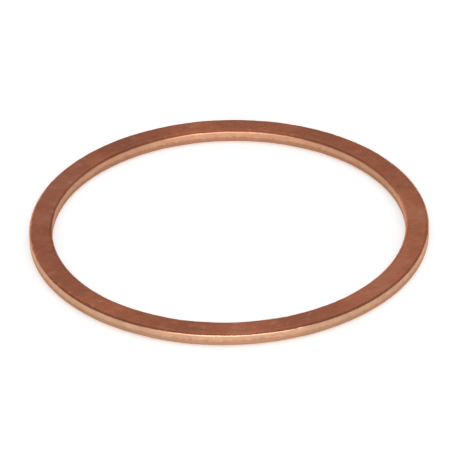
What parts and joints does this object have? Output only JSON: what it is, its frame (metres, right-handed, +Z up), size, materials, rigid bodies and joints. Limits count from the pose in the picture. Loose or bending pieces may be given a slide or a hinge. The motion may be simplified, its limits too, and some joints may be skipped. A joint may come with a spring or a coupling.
{
  "type": "copper crush washer",
  "caption": "Flat solid copper sealing ring with a wide bore and rounded edges, crushed between a screw plug's shoulder and its port face to make a seal.",
  "frame": {"origin": "centre of the bore on the lower sealing face, where the ring lies on a flat surface", "axes": "+Z up the bore axis, out of the upper sealing face; X and Y lie in the plane of the ring, which is the same all round"},
  "size_m": [0.068, 0.068, 0.0025],
  "materials": {
    "copper": "satin annealed copper, lightly tarnished on the faces and brighter on the punched walls"
  },
  "bodies": {
    "root": {"crush_washer": "copper"}
  },
  "joints": []
}
